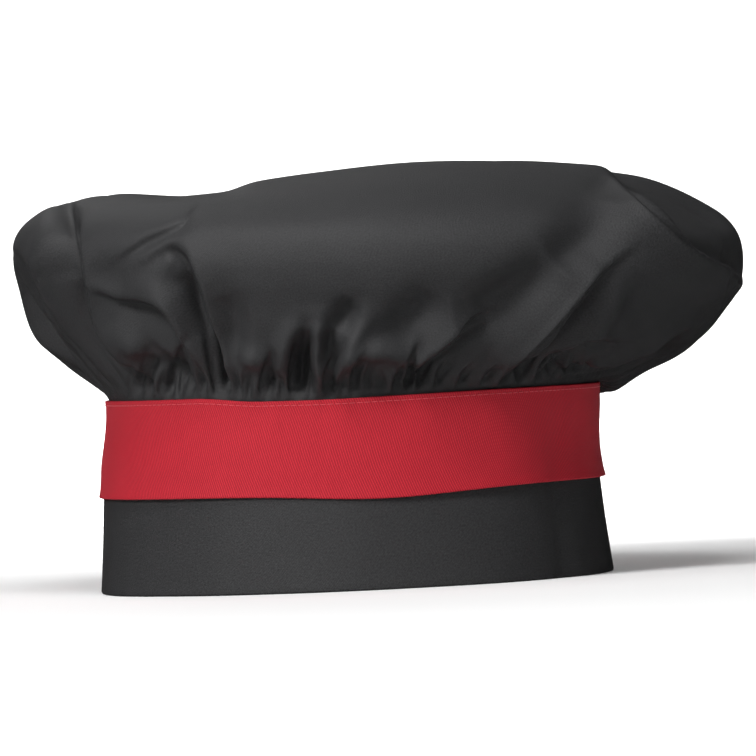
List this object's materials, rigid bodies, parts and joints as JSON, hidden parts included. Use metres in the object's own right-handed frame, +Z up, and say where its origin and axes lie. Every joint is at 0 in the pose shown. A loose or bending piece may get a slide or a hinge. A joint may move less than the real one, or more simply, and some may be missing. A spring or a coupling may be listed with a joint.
{
  "type": "chef toque",
  "caption": "Soft chef toque with a full gathered crown, a stiffened headband, a folded contrast strip and a hook-and-loop back closure.",
  "frame": {"origin": "centre of the head opening, in the plane of the headband's rim", "axes": "+Z up out of the crown, -Y the front of the hat, +Y the back where the band closes, +X the wearer's left"},
  "size_m": [0.2836, 0.2688, 0.1622],
  "materials": {
    "black_twill": "soft satin twill, piece dyed black",
    "red_twill": "satin drill with a clear diagonal line",
    "interlining": "matt non-woven",
    "red_thread": "spun polyester thread",
    "black_thread": "spun polyester thread",
    "black_tape": "woven tape",
    "loop_tape": "brushed loop pile",
    "hook_tape": "moulded hooks on a woven base"
  },
  "bodies": {
    "hat": {"crown": "black_twill", "gathering_threads": "black_thread", "headband": "black_twill", "band_interlining": "interlining", "contrast_strip": "red_twill", "strip_topstitch": "red_thread", "gap_binding": "black_tape", "loop_pad": "loop_tape", "loop_pad_stitching": "black_thread"},
    "closure": {"closure_flap": "black_twill", "flap_interlining": "interlining", "flap_contrast_strip": "red_twill", "flap_topstitch": "red_thread", "flap_end_stitching": "black_thread", "hook_pad": "hook_tape", "hook_pad_stitching": "black_thread", "bar_tacks": "black_thread"}
  },
  "joints": [
    {"name": "closure_peel", "type": "hinge", "parent": "hat", "child": "closure", "pos_m": [-0.02706, 0.09263, 0], "axis": [0, 0, 1], "range_deg": [0, 120]}
  ]
}
